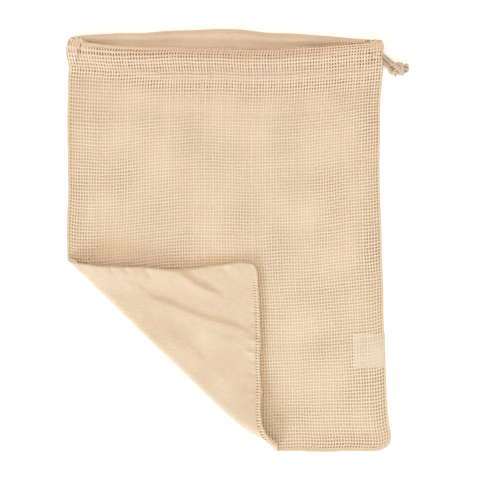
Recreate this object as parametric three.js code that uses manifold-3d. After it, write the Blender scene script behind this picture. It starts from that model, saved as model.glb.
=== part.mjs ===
// A cotton produce bag lying flat on its plain woven back, net side up, mouth towards +Y.
// The lower left corner is turned up over the net. Millimetres, +Z up, origin under the middle.

import * as THREE from 'three';
import { mergeVertices } from 'three/addons/utils/BufferGeometryUtils.js';
import Module from 'manifold-3d';

const wasm = await Module();
wasm.setup();

// Cloth and cord
const clothThickness = 1;
const layerGap = 0.6;
const cordDiameter = 3.4;
const cordRoom = 0.4;
const clothOverCord = { slack: 0.15, fall: 0.17 };
const cordSides = 8;
const cordSteps = 78;

// Hems at the mouth: the cord lies this far below each rim
const hemDepth = 23;
const hemEndInset = 17;
const backCordDepth = 6;
const netCordDepth = 13;
const rimBend = (clothThickness + layerGap) / 2;
const layerBlend = 5;

// The front's height over the back: it stands open in the middle of the mouth, and near both
// ends its rim lies over the back's cord and its own cord beside that
const mouthMiddle = { x: -3, from: 75, to: 137 };
const mouthLift = { height: 6, from: 2, to: 42 };
const endLift = { height: 5.4, from: 6.3, to: 11.3, fromAtSeam: 17 };
const overHemLift = { height: 1.4, from: 1, to: 12 };
const atSeams = { from: 138, to: 143 };

// Side and bottom seams: the net rises from the seam and comes down again inside it
const seamRise = 7;
const seamPuff = { height: 2.4, from: 11, to: 27 };
const puffFromFold = { from: 8, to: 55 };

// The turned-up corner
const foldStart = new THREE.Vector2(-155.2, -17);
const foldEnd = new THREE.Vector2(33.7, -201);
const rollRadius = 5;
const rollRadiusAtBottom = 9;
const rollGrowth = { from: 195, to: 262 };
const neutralDepth = 1.2;
const flapHeight = 7.6;
const flapSagReach = 50;
const cornerFoldDistance = 79;

// The bag's outline as it lies, with the corner unfolded, for the plain back and for the net
const leftSeam = [
  { y: 192.4, back: -152, net: -153.4 },
  { y: 187, back: -154.6, net: -154.2 },
  { y: 180, back: -155.2, net: -153.9 },
  { y: 171, back: -153.6, net: -152.3 },
  { y: 165, back: -152.4, net: -151 },
  { y: 154, back: -153.4, net: -152 },
  { y: 100, back: -153.6, net: -152.4 },
  { y: 40, back: -153.6, net: -152.6 },
  { y: -14, back: -154.4, net: -153.8 },
  { y: -50, back: -148, net: -148.6 },
  { y: -98, back: -145, net: -145.8 },
  { y: -127, back: -141.8, net: -142.8 },
  { y: -155, back: -145.4, net: -146.2 },
  { y: -182, back: -147.8, net: -148.6 },
];
const rightSeam = [
  { y: 187, back: 148.3, net: 147.7 },
  { y: 178, back: 147.5, net: 147 },
  { y: 153, back: 146.6, net: 146.2 },
  { y: 120, back: 144.8, net: 144.5 },
  { y: 75, back: 144.3, net: 144 },
  { y: 30, back: 145.2, net: 144.9 },
  { y: -40, back: 147.4, net: 147.1 },
  { y: -95, back: 149.3, net: 149 },
  { y: -140, back: 150.8, net: 150.4 },
  { y: -172, back: 153.2, net: 152.6 },
  { y: -187, back: 155.2, net: 154.2 },
];
const bottomSeam = [
  { x: 152.6, back: -195.5, net: -193.6 },
  { x: 146.5, back: -199.8, net: -197 },
  { x: 137, back: -201.6, net: -198.4 },
  { x: 95, back: -201.8, net: -198.2 },
  { x: 70, back: -201.6, net: -198.2 },
  { x: 46, back: -200, net: -197.4 },
  { x: 28, back: -195.6, net: -195.4 },
  { x: 12, back: -196.8, net: -198.4 },
  { x: -20, back: -197.8, net: -201.2 },
  { x: -80, back: -198.4, net: -202 },
  { x: -130, back: -198.8, net: -202.2 },
];
const flapCorner = {
  back: { left: [-147.4, -189.4], bottom: [-140.2, -197.2] },
  net: { left: [-148.2, -191.6], bottom: [-140.2, -200.4] },
};

// The two rims of the mouth
const rims = [
  { x: -150, back: 193.8, net: 189.6 },
  { x: -137, back: 196.1, net: 188.4 },
  { x: -104, back: 197.4, net: 184.8 },
  { x: -60, back: 199.4, net: 183.4 },
  { x: -10, back: 201.6, net: 182.8 },
  { x: 35, back: 198.8, net: 182 },
  { x: 87, back: 195.6, net: 185.2 },
  { x: 116, back: 193, net: 187.7 },
  { x: 147, back: 190.4, net: 190 },
];
const rimEnds = {
  back: { left: -147.5, right: 146.5 },
  net: { left: -149.5, right: 146 },
};

// Troughs and ridges of the turned-up corner, as lines on its face
const flapCreases = [
  { fromX: -44, fromY: -29, toX: -6, toY: -50, rise: -1.6, width: 6 },
  { fromX: -32, fromY: -40, toX: 3, toY: -55, rise: 1.3, width: 6 },
  { fromX: -80, fromY: -47, toX: 28, toY: -90, rise: -1.5, width: 9 },
  { fromX: -80, fromY: -76, toX: -27, toY: -109, rise: -1.2, width: 12 },
  { fromX: -27, fromY: -119, toX: -3, toY: -100, rise: 1.2, width: 9 },
];

const creaseStart = { from: 4, to: 24 };

// The plain label inside the right seam
const label = { left: 118, right: 144.6, top: -88.3, bottom: -120.8, height: 1.3 };
const labelLift = { height: 1.3, overX: [30, 45], overY: [24, 45] };

// The gap in the right seam where the cord comes out
const exitY = 173.4;
const exitHalfHeight = 7.5;
const exitRise = 4.7;
const exitInside = 16;

const { clamp, lerp, smoothstep } = THREE.MathUtils;

function tableValue(table, key, column, at) {
  const points = table.map((row) => new THREE.Vector3(row[key], row[column], 0));
  const last = points.length - 1;
  const ascending = points[last].x > points[0].x;
  const ordered = ascending ? points : points.reverse();
  let k = 0;
  while (k < last - 1 && at > ordered[k + 1].x) k += 1;
  const before = ordered[Math.max(k - 1, 0)];
  const after = ordered[Math.min(k + 2, last)];
  const a = ordered[k];
  const b = ordered[k + 1];
  const t = clamp((at - a.x) / (b.x - a.x), 0, 1);
  const slopeA = ((b.y - before.y) / (b.x - before.x)) * (b.x - a.x);
  const slopeB = ((after.y - a.y) / (after.x - a.x)) * (b.x - a.x);
  const t2 = t * t;
  const t3 = t2 * t;
  return (2 * t3 - 3 * t2 + 1) * a.y + (t3 - 2 * t2 + t) * slopeA
    + (3 * t2 - 2 * t3) * b.y + (t3 - t2) * slopeB;
}

function rimY(panel, x) {
  return tableValue(rims, 'x', panel, x);
}

// One panel's two edges, each running from the mouth to the turned-up corner
function panelEdges(panel) {
  const ends = rimEnds[panel];
  const corner = flapCorner[panel];
  const left = [
    new THREE.Vector3(ends.left, rimY(panel, ends.left), 0),
    ...leftSeam.filter((row) => row.y < rimY(panel, ends.left) - 1)
      .map((row) => new THREE.Vector3(row[panel], row.y, 0)),
    new THREE.Vector3(...corner.left, 0),
  ];
  const right = [
    new THREE.Vector3(ends.right, rimY(panel, ends.right), 0),
    ...rightSeam.map((row) => new THREE.Vector3(row[panel], row.y, 0)),
    ...bottomSeam.map((row) => new THREE.Vector3(row.x, row[panel], 0)),
    new THREE.Vector3(...corner.bottom, 0),
  ];
  return {
    left: new THREE.CatmullRomCurve3(left, false, 'centripetal'),
    right: new THREE.CatmullRomCurve3(right, false, 'centripetal'),
  };
}

const edges = { back: panelEdges('back'), net: panelEdges('net') };
const outlinePoints = ['left', 'right'].map((side) => edges.back[side].getSpacedPoints(90));

// How far a place is inside the seams
function seamDistance(x, y) {
  const place = new THREE.Vector3(x, y, 0);
  const nearest = new THREE.Vector3();
  const line = new THREE.Line3();
  let distance = Infinity;
  for (const points of outlinePoints) {
    for (let k = 1; k < points.length; k += 1) {
      line.set(points[k - 1], points[k]);
      line.closestPointToPoint(place, true, nearest);
      distance = Math.min(distance, nearest.distanceTo(place));
    }
  }
  return distance;
}

const alongFold = foldEnd.clone().sub(foldStart).normalize();
const acrossFold = new THREE.Vector2(-alongFold.y, alongFold.x);

function foldDistance(x, y) {
  return (x - foldStart.x) * acrossFold.x + (y - foldStart.y) * acrossFold.y;
}

// Where a place lies on the roll of the turned-up corner, which is fuller near the bottom seam
function rollAt(x, y) {
  const along = (x - foldStart.x) * alongFold.x + (y - foldStart.y) * alongFold.y;
  const growth = smoothstep(along, rollGrowth.from, rollGrowth.to);
  const radius = lerp(rollRadius, rollRadiusAtBottom, growth);
  const start = rollRadius + (Math.PI / 2) * (radius - rollRadius);
  const past = start - foldDistance(x, y);
  const halfTurn = Math.PI * (radius - neutralDepth);
  return { radius, past, halfTurn };
}

function fallOff(value, from, to) {
  return 1 - smoothstep(value, from, to);
}

// A quarter-circle rise from 0 at the seam to 1
function pillow(distance, width) {
  const t = 1 - clamp(distance / width, 0, 1);
  return Math.sqrt(1 - t * t);
}

// The cloth over a round cord, above the cord's middle
function overCord(offset) {
  const top = cordDiameter / 2 + cordRoom + clothThickness / 2 + clothOverCord.slack;
  return top - clothOverCord.fall * offset * offset;
}

const cordAboveLayer = clothThickness / 2 + cordRoom + cordDiameter / 2;

// Height of the front's underside above its lowest place on the back
function frontLift(x, depth) {
  const fromMiddle = Math.abs(x - mouthMiddle.x);
  const belowHem = depth - hemDepth;
  const atSeam = smoothstep(fromMiddle, atSeams.from, atSeams.to);
  const dropStart = lerp(endLift.from, endLift.fromAtSeam, atSeam);
  const drop = fallOff(depth, dropStart, dropStart + endLift.to - endLift.from);
  const nearEnd = lerp(overHemLift.height, endLift.height, drop)
    * fallOff(belowHem, overHemLift.from, overHemLift.to);
  const open = mouthLift.height * fallOff(belowHem, mouthLift.from, mouthLift.to);
  return lerp(nearEnd, open, fallOff(fromMiddle, mouthMiddle.from, mouthMiddle.to));
}

// Mid-surfaces of the layers before the corner is turned up
const backMiddle = clothThickness / 2;
const netMiddle = clothThickness * 1.5 + layerGap;
const layerStep = clothThickness + layerGap;

function backHemHeight(x, depth) {
  const flat = backMiddle + layerStep;
  return Math.max(flat, backMiddle + cordAboveLayer + overCord(depth - backCordDepth));
}

function netTurnedHeight(x, depth) {
  return netMiddle + frontLift(x, depth);
}

// The net rises over the two strands where they leave the right seam
function exitLift(x, y, inside) {
  if (x < 0) return 0;
  return exitRise * fallOff(Math.abs(y - exitY), exitHalfHeight, exitHalfHeight * 2)
    * fallOff(inside, exitInside, exitInside * 2);
}

function overLabel(x, y, inside) {
  const offX = Math.abs(x - (label.left + label.right) / 2);
  const offY = Math.abs(y - (label.top + label.bottom) / 2);
  return labelLift.height * fallOff(offX, ...labelLift.overX) * fallOff(offY, ...labelLift.overY)
    * pillow(inside, seamRise);
}

function netHeight(x, y) {
  const depth = rimY('net', x) - y;
  const inside = seamDistance(x, y);
  const doubled = layerStep * fallOff(depth, hemDepth, hemDepth + layerBlend);
  const plain = netMiddle + frontLift(x, depth) + doubled;
  const overItsCord = netTurnedHeight(x, netCordDepth) + cordAboveLayer + overCord(depth - netCordDepth);
  const hem = (Math.max(plain, overItsCord) - netMiddle) * pillow(inside, hemEndInset);
  const open = smoothstep(foldDistance(x, y), puffFromFold.from, puffFromFold.to)
    * smoothstep(depth, hemDepth, hemDepth + layerBlend * 3);
  const puff = seamPuff.height * pillow(inside, seamRise) * open
    * fallOff(inside, seamPuff.from, seamPuff.to);
  return netMiddle + Math.max(hem, exitLift(x, y, inside)) + Math.max(puff, overLabel(x, y, inside));
}

// Rise and fall of the turned-up corner's face
function flapRise(x, y, beyond, radius) {
  let rise = (flapHeight - 2 * radius) * smoothstep(beyond, 0, flapSagReach);
  const place = new THREE.Vector3(x, y, 0);
  const nearest = new THREE.Vector3();
  for (const crease of flapCreases) {
    const line = new THREE.Line3(
      new THREE.Vector3(crease.fromX, crease.fromY, 0),
      new THREE.Vector3(crease.toX, crease.toY, 0),
    );
    line.closestPointToPoint(place, true, nearest);
    const off = nearest.distanceTo(place) / crease.width;
    rise += crease.rise * Math.exp(-off * off) * smoothstep(beyond, creaseStart.from, creaseStart.to);
  }
  return rise;
}

// Turns a place of the flat bag up over the fold
function turnUp(x, y, height) {
  const roll = rollAt(x, y);
  if (roll.past <= 0) return new THREE.Vector3(x, y, height);
  const angle = Math.PI * Math.min(roll.past / roll.halfTurn, 1);
  const beyond = Math.max(roll.past - roll.halfTurn, 0);
  const reach = roll.radius - height;
  const shift = roll.past - reach * Math.sin(angle) + beyond;
  const atX = x + acrossFold.x * shift;
  const atY = y + acrossFold.y * shift;
  const z = roll.radius - reach * Math.cos(angle) + flapRise(atX, atY, beyond, roll.radius);
  return new THREE.Vector3(atX, atY, z);
}

// Share of the way along an edge curve where a measure of its points reaches a value
function whereOn(curve, measure, value) {
  let low = 0;
  let high = 1;
  const rising = measure(curve.getPointAt(1)) > measure(curve.getPointAt(0));
  for (let k = 0; k < 30; k += 1) {
    const middle = (low + high) / 2;
    if (measure(curve.getPointAt(middle)) < value === rising) low = middle;
    else high = middle;
  }
  return (low + high) / 2;
}

// Distances of the columns from a row's left end, closer together near both seams
const columns = { nearSeam: [0, 2, 4.5, 8, 14, 23], between: 10, shortRow: 130, insetReach: 45 };

function columnPlaces(length, inset) {
  const scale = Math.min(1, length / columns.shortRow);
  const near = columns.nearSeam.map((distance) => distance * scale);
  const first = near[near.length - 1];
  const places = [...near];
  for (let k = 1; k <= columns.between; k += 1) {
    places.push(first + ((length - 2 * first) * k) / (columns.between + 1));
  }
  places.push(...near.map((distance) => length - distance).reverse());
  const insetAt = (distance) => inset * Math.max(0, 1 - distance / columns.insetReach);
  return places.map((place) => place + insetAt(place) - insetAt(length - place));
}

// Places along one row from the left seam to the right seam or the bottom
function rowPlaces(panel, row) {
  const left = edges[panel].left.getPointAt(row.left);
  const right = edges[panel].right.getPointAt(row.right);
  const length = left.distanceTo(right);
  return columnPlaces(length, row.inset ?? 0).map((distance) => {
    const place = left.clone().lerp(right, distance / length);
    const off = row.off ? row.off(place) : 0;
    const bow = row.bow ? row.bow * rimBow(panel, place.x) : 0;
    return new THREE.Vector2(place.x + acrossFold.x * off, place.y + acrossFold.y * off + bow);
  });
}

function rimChord(panel, x) {
  const ends = rimEnds[panel];
  const share = (x - ends.left) / (ends.right - ends.left);
  return lerp(rimY(panel, ends.left), rimY(panel, ends.right), share);
}

function rimBow(panel, x) {
  return rimY(panel, x) - rimChord(panel, x);
}

function hemRow(panel, depth, inset) {
  const measure = (point) => rimChord(panel, point.x) - point.y;
  return {
    left: whereOn(edges[panel].left, measure, depth),
    right: whereOn(edges[panel].right, measure, depth),
    bow: 1,
    inset,
  };
}

function rowWhere(panel, off) {
  return { left: whereOn(edges[panel].left, off, 0), right: whereOn(edges[panel].right, off, 0), off };
}

// A row along the fold, at a share of the half turn or a distance beyond it
function foldRow(panel, share, beyond = 0) {
  return rowWhere(panel, (place) => {
    const roll = rollAt(place.x, place.y);
    return roll.past - roll.halfTurn * share - beyond;
  });
}

// Rows of a panel below its hem, turning from the mouth's direction to the fold's. The corner
// step is a share of the right edge's length.
const bodySteps = { belowHem: 4, downSide: 11, corner: 0.013, alongBottom: 4, bowEnd: 0.35 };

function bodyRows(panel) {
  const top = hemRow(panel, hemDepth + bodySteps.belowHem);
  const roll = foldRow(panel, 0);
  const toCorner = (place) => foldDistance(place.x, place.y) - cornerFoldDistance;
  const corner = whereOn(edges[panel].right, toCorner, 0);
  const rightShares = [];
  for (let k = 1; k <= bodySteps.downSide; k += 1) {
    rightShares.push(lerp(top.right, corner - bodySteps.corner, k / bodySteps.downSide));
  }
  for (let k = 0; k < 3; k += 1) rightShares.push(corner + k * bodySteps.corner);
  const cornerEnd = rightShares[rightShares.length - 1];
  for (let k = 1; k <= bodySteps.alongBottom; k += 1) {
    rightShares.push(lerp(cornerEnd, roll.right, k / (bodySteps.alongBottom + 1)));
  }
  const rows = rightShares.map((right, k) => {
    const share = (k + 1) / (rightShares.length + 1);
    return { left: lerp(top.left, roll.left, share), right, bow: fallOff(share, 0, bodySteps.bowEnd) };
  });
  return [top, ...rows];
}

// Rows over the roll and over the turned-up corner, the last one at the corner itself
const turnedSteps = { roll: 8, flap: 11, cornerEdge: 2.5 };

function rollAndFlapRows(panel) {
  const rows = [];
  for (let k = 0; k <= turnedSteps.roll; k += 1) rows.push(foldRow(panel, k / turnedSteps.roll));
  const end = edges[panel].left.getPointAt(1);
  const roll = rollAt(end.x, end.y);
  const last = roll.past - roll.halfTurn - turnedSteps.cornerEdge;
  for (let k = 1; k <= turnedSteps.flap; k += 1) {
    rows.push(foldRow(panel, 1, (last * k) / turnedSteps.flap));
  }
  rows.push({ left: 1, right: 1 });
  return rows;
}

const rimDegrees = [-50, 0, 50];

// Middle surface of a panel as rows of points, from the hem's inner edge over the rim
function panelRows(panel, shape) {
  const grid = [];
  for (const depth of shape.turnedDepths) {
    const places = rowPlaces(panel, hemRow(panel, depth, hemEndInset));
    grid.push(places.map(({ x, y }) => new THREE.Vector3(x, y, shape.turnedHeight(x, depth))));
  }
  for (const degrees of rimDegrees) {
    const sine = Math.sin(THREE.MathUtils.degToRad(degrees));
    const depth = rimBend * (1 - Math.sqrt(1 - sine * sine));
    const places = rowPlaces(panel, hemRow(panel, depth, (hemEndInset * (1 - sine)) / 2));
    grid.push(places.map(({ x, y }) => {
      const outer = shape.height(x, rimY(panel, x) - rimBend);
      return new THREE.Vector3(x, y, lerp(shape.turnedAtRim(outer), outer, (1 + sine) / 2));
    }));
  }
  const hem = shape.depths.map((depth) => hemRow(panel, depth));
  for (const row of [...hem, ...bodyRows(panel), ...rollAndFlapRows(panel)]) {
    grid.push(rowPlaces(panel, row).map(({ x, y }) => turnUp(x, y, shape.height(x, y))));
  }
  return grid;
}

// A closed sheet of even thickness around rows of points
function sheetGeometry(grid) {
  const rows = grid.length;
  const columns = grid[0].length;
  const positions = [];
  const normalAt = (i, j) => {
    const down = grid[Math.min(i + 1, rows - 1)][j].clone().sub(grid[Math.max(i - 1, 0)][j]);
    const across = grid[i][Math.min(j + 1, columns - 1)].clone().sub(grid[i][Math.max(j - 1, 0)]);
    return across.cross(down).normalize();
  };
  for (const side of [0.5, -0.5]) {
    for (let i = 0; i < rows; i += 1) {
      for (let j = 0; j < columns; j += 1) {
        const point = grid[i][j].clone().addScaledVector(normalAt(i, j), side * clothThickness);
        positions.push(point.x, point.y, point.z);
      }
    }
  }
  const index = [];
  const at = (side, i, j) => side * rows * columns + i * columns + j;
  const quad = (a, b, c, d) => index.push(a, b, c, a, c, d);
  for (let i = 0; i < rows - 1; i += 1) {
    for (let j = 0; j < columns - 1; j += 1) {
      quad(at(0, i, j), at(0, i, j + 1), at(0, i + 1, j + 1), at(0, i + 1, j));
      quad(at(1, i, j), at(1, i + 1, j), at(1, i + 1, j + 1), at(1, i, j + 1));
    }
  }
  for (let j = 0; j < columns - 1; j += 1) {
    quad(at(0, 0, j), at(1, 0, j), at(1, 0, j + 1), at(0, 0, j + 1));
    quad(at(0, rows - 1, j), at(0, rows - 1, j + 1), at(1, rows - 1, j + 1), at(1, rows - 1, j));
  }
  for (let i = 0; i < rows - 1; i += 1) {
    quad(at(0, i, 0), at(0, i + 1, 0), at(1, i + 1, 0), at(1, i, 0));
    const j = columns - 1;
    quad(at(0, i, j), at(1, i, j), at(1, i + 1, j), at(0, i + 1, j));
  }
  const geometry = new THREE.BufferGeometry();
  geometry.setAttribute('position', new THREE.Float32BufferAttribute(positions, 3));
  geometry.setIndex(index);
  return geometry;
}

const besideCord = [5.5, 3.2, 1.6, 0, -1.6, -3.2];

const backShape = {
  turnedDepths: [hemDepth, 17, ...besideCord.map((offset) => backCordDepth + offset), rimBend],
  depths: [rimBend, 6, 14, hemDepth],
  height: () => backMiddle,
  turnedHeight: backHemHeight,
  turnedAtRim: (outer) => outer + layerStep,
};
const netShape = {
  turnedDepths: [hemDepth, 18, 13, 11.2, 9, 6.5, 3, rimBend],
  depths: [rimBend, 4, ...besideCord.map((offset) => netCordDepth - offset), 18.5, hemDepth],
  height: netHeight,
  turnedHeight: netTurnedHeight,
  turnedAtRim: (outer) => Math.max(outer - layerStep, netMiddle),
};

// The cord's route: out of the knot, through the front hem, round the left end, back through
// the back hem and out again
function cordRoute() {
  const inFront = (x) => new THREE.Vector3(
    x,
    rimY('net', x) - netCordDepth,
    netTurnedHeight(x, netCordDepth) + cordAboveLayer,
  );
  const inBack = (x) => new THREE.Vector3(x, rimY('back', x) - backCordDepth, backMiddle + cordAboveLayer);
  return [
    new THREE.Vector3(154.7, 163.7, 3.6),
    new THREE.Vector3(150.8, 167.6, 3.6),
    new THREE.Vector3(147.4, 170.8, 3.5),
    new THREE.Vector3(142.6, 173.9, 4.4),
    new THREE.Vector3(137.4, 175.4, 5.6),
    new THREE.Vector3(131, 176, 6.2),
    ...[124, 108, 90, 70, 45, 20, 0, -20, -45, -70, -90, -110, -126, -136].map(inFront),
    new THREE.Vector3(-142.4, 176, 5.7),
    new THREE.Vector3(-147.8, 180, 4.6),
    new THREE.Vector3(-149.2, 184.2, 3.9),
    new THREE.Vector3(-146, 188.2, 3.3),
    new THREE.Vector3(-140.4, 189.7, 3.1),
    ...[-134, -118, -100, -75, -50, -30, -10, 10, 35, 60, 85, 105, 123].map(inBack),
    new THREE.Vector3(131.4, 185.6, 3.1),
    new THREE.Vector3(137.4, 183.2, 3.1),
    new THREE.Vector3(142.4, 180, 3.2),
    new THREE.Vector3(147.4, 176.2, 3.4),
    new THREE.Vector3(151.4, 172.8, 3.9),
    new THREE.Vector3(156.1, 168.8, 4.2),
  ];
}

function tubeGeometry(points, diameter, sides, steps) {
  const section = new THREE.Shape();
  for (let k = 0; k < sides; k += 1) {
    const angle = (2 * Math.PI * k) / sides;
    const x = (diameter / 2) * Math.cos(angle);
    const y = (diameter / 2) * Math.sin(angle);
    if (k === 0) section.moveTo(x, y);
    else section.lineTo(x, y);
  }
  const path = new THREE.CatmullRomCurve3(points, false, 'centripetal');
  return new THREE.ExtrudeGeometry(section, { steps, extrudePath: path, bevelEnabled: false });
}

function solidOf(geometry) {
  const bare = geometry.clone();
  bare.deleteAttribute('normal');
  bare.deleteAttribute('uv');
  const merged = mergeVertices(bare, 1e-4);
  const mesh = new wasm.Mesh({
    numProp: 3,
    vertProperties: new Float32Array(merged.attributes.position.array),
    triVerts: new Uint32Array(merged.index.array),
  });
  return new wasm.Manifold(mesh);
}

function geometryOf(solid) {
  const mesh = solid.getMesh();
  const geometry = new THREE.BufferGeometry();
  geometry.setAttribute('position', new THREE.Float32BufferAttribute(Array.from(mesh.vertProperties), 3));
  geometry.setIndex(Array.from(mesh.triVerts));
  return geometry;
}

// The overhand knot in both strands, with its two frayed ends
const knotPieces = [
  { diameter: 5.8, steps: 8, points: [[159, 169.8, 3.6], [161.6, 165.6, 5.4], [161, 159.6, 3.6]] },
  { diameter: 6, steps: 6, points: [[156.6, 164.6, 3.2], [161, 164.4, 3.8], [166.4, 164.8, 3.4]] },
  { diameter: 5.2, steps: 6, points: [[156.4, 160.6, 2.7], [160.4, 159.4, 3], [164.6, 161.6, 3.2]] },
  { diameter: 5.2, steps: 3, points: [[165.4, 166, 3.4], [169.4, 168.6, 2.8]] },
  { diameter: 5.2, steps: 3, points: [[165, 164.4, 3.2], [170, 164, 2.8]] },
  { diameter: 5.2, steps: 3, points: [[165.2, 163, 3.2], [168.8, 160, 2.8]] },
];

function knotGeometry() {
  const solids = knotPieces.map(({ points, diameter, steps }) => {
    const route = points.map((point) => new THREE.Vector3(...point));
    return solidOf(tubeGeometry(route, diameter, 8, steps));
  });
  return geometryOf(solids.reduce((joined, solid) => joined.add(solid)));
}

function labelGeometry() {
  const width = label.right - label.left;
  const length = label.top - label.bottom;
  const geometry = new THREE.BoxGeometry(width, length, clothThickness);
  geometry.translate(
    (label.left + label.right) / 2,
    (label.top + label.bottom) / 2,
    label.height + clothThickness / 2,
  );
  return geometry;
}

const cloth = (color) => new THREE.MeshStandardMaterial({ color, roughness: 0.95, metalness: 0 });

function piece(name, geometry, color) {
  const mesh = new THREE.Mesh(geometry, cloth(color));
  mesh.name = name;
  return mesh;
}

const bag = new THREE.Group();
bag.add(piece('back_panel', sheetGeometry(panelRows('back', backShape)), 0xeed7bc));
bag.add(piece('front_net', sheetGeometry(panelRows('net', netShape)), 0xe6cdaf));
bag.add(piece('drawcord', tubeGeometry(cordRoute(), cordDiameter, cordSides, cordSteps), 0xc8b091));
bag.add(piece('knot', knotGeometry(), 0xd3bb9f));
bag.add(piece('label', labelGeometry(), 0xeedac0));

export default bag;
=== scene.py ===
import bpy
import numpy as np
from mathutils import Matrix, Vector


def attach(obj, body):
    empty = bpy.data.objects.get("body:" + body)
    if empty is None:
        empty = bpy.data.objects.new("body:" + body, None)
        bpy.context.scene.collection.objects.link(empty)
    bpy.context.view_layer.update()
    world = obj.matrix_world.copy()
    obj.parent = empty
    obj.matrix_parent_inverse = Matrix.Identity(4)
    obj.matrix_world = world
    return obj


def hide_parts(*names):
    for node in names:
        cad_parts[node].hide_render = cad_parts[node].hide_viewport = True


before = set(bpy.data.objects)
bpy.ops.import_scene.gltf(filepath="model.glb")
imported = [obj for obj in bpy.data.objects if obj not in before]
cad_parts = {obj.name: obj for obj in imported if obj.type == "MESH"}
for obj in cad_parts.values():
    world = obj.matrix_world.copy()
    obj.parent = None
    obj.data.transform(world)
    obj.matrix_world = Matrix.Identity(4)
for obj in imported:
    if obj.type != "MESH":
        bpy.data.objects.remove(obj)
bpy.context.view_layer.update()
print("frame loaded:", ", ".join(sorted(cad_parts)))


# Small curves

def ramp(value, low, high):  # a smooth step from 0 at low to 1 at high
    t = np.clip((value - low) / (high - low), 0, 1)
    return t * t * (3 - 2 * t)


def fade(value, low, high):
    return 1 - ramp(value, low, high)


def blend(a, b, share):
    return a + (b - a) * share


def quarterRound(distance, width):  # a quarter circle's rise from 0 at the seam to 1
    t = 1 - np.clip(distance / width, 0, 1)
    return np.sqrt(np.maximum(1 - t * t, 0))


def softMax(a, b, width):  # the higher of two heights, rounded where they cross
    h = np.clip(0.5 + (a - b) / (2 * width), 0, 1)
    return b * (1 - h) + a * h + width * h * (1 - h)


def valueThrough(places, values, at):  # a smooth curve through points, each place once and rising
    k = np.clip(np.searchsorted(places, at) - 1, 0, len(places) - 2)
    before = np.maximum(k - 1, 0)
    after = np.minimum(k + 2, len(places) - 1)
    step = places[k + 1] - places[k]
    t = np.clip((at - places[k]) / step, 0, 1)
    slopeA = (values[k + 1] - values[before]) / (places[k + 1] - places[before]) * step
    slopeB = (values[after] - values[k]) / (places[after] - places[k]) * step
    return ((2 * t**3 - 3 * t**2 + 1) * values[k] + (t**3 - 2 * t**2 + t) * slopeA
            + (3 * t**2 - 2 * t**3) * values[k + 1] + (t**3 - t**2) * slopeB)


def lengthAlong(line):  # from the line's start to each of its points
    return np.concatenate([[0], np.cumsum(np.linalg.norm(np.diff(line, axis=0), axis=1))])


def alongLine(line, share):
    length = lengthAlong(line)
    return np.stack([np.interp(share * length[-1], length, values) for values in line.T], axis=-1)


def lineThrough(points, count):  # a smooth line through points, at even distances
    p = np.array(points, float)
    t = np.concatenate([[0], np.cumsum(np.linalg.norm(np.diff(p, axis=0), axis=1) ** 0.5)])
    fine = np.linspace(0, t[-1], count * 4)
    line = np.stack([valueThrough(t, values, fine) for values in p.T], axis=1)
    return alongLine(line, np.linspace(0, 1, count))


def waves(x, y, size, seed):  # gentle unevenness between about -1 and 1
    draw = np.random.default_rng(seed)
    count = 7
    total = np.zeros(np.broadcast(x, y).shape)
    for _ in range(count):
        turn, shift = draw.uniform(0, 2 * np.pi, 2)
        pitch = size * draw.uniform(0.7, 1.6)
        total += np.sin((x * np.cos(turn) + y * np.sin(turn)) * 2 * np.pi / pitch + shift)
    return total / count ** 0.5


def fromSegment(x, y, a, b):  # the nearest place on a segment, as a share of it, and the way from there
    dx, dy = b[0] - a[0], b[1] - a[1]
    t = np.clip(((x - a[0]) * dx + (y - a[1]) * dy) / (dx * dx + dy * dy), 0, 1)
    return t, x - a[0] - t * dx, y - a[1] - t * dy


# The bag's shape. Each row of a seam has the plain back's place and the net's
leftSeam = [  # (y, back's x, net's x)
    (0.1924, -0.152, -0.1534), (0.187, -0.1546, -0.1542), (0.18, -0.1552, -0.1539),
    (0.171, -0.1536, -0.1523), (0.165, -0.1524, -0.151), (0.154, -0.1534, -0.152),
    (0.1, -0.1536, -0.1524), (0.04, -0.1536, -0.1526), (-0.014, -0.1544, -0.1538),
    (-0.05, -0.148, -0.1486), (-0.098, -0.145, -0.1458), (-0.127, -0.1418, -0.1428),
    (-0.155, -0.1454, -0.1462), (-0.182, -0.1478, -0.1486),
]
rightSeam = [
    (0.187, 0.1483, 0.1477), (0.178, 0.1475, 0.147), (0.153, 0.1466, 0.1462),
    (0.12, 0.1448, 0.1445), (0.075, 0.1443, 0.144), (0.03, 0.1452, 0.1449),
    (-0.04, 0.1474, 0.1471), (-0.095, 0.1493, 0.149), (-0.14, 0.1508, 0.1504),
    (-0.172, 0.1532, 0.1526), (-0.187, 0.1552, 0.1542),
]
bottomSeam = [  # (x, back's y, net's y)
    (0.1526, -0.1955, -0.1938), (0.1465, -0.1998, -0.1972), (0.137, -0.2016, -0.1988),
    (0.095, -0.2018, -0.1986), (0.07, -0.2016, -0.1986), (0.046, -0.2014, -0.1992),
    (0.028, -0.2012, -0.2006), (0.012, -0.2006, -0.2004), (-0.02, -0.2008, -0.2008),
    (-0.08, -0.2016, -0.2016), (-0.13, -0.2012, -0.2012),
]
flapCorner = {"sides": ((-0.1478, -0.1906), (-0.1402, -0.1998)), "round": 0.0024}
rims = [  # (x, back's y, net's y)
    (-0.15, 0.1938, 0.1896), (-0.137, 0.1961, 0.1884), (-0.104, 0.1974, 0.1848),
    (-0.06, 0.1994, 0.1834), (-0.01, 0.2016, 0.1828), (0.035, 0.1988, 0.182),
    (0.087, 0.1956, 0.1852), (0.116, 0.193, 0.1877), (0.147, 0.1904, 0.19),
]
rimEnds = {"back": (-0.1475, 0.1465), "net": (-0.1495, 0.146)}
seamColumn = {"back": 1, "net": 2}
edgePoints = {"top": 300, "left": 500, "rightAndBottom": 900, "outline": 900}

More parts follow.
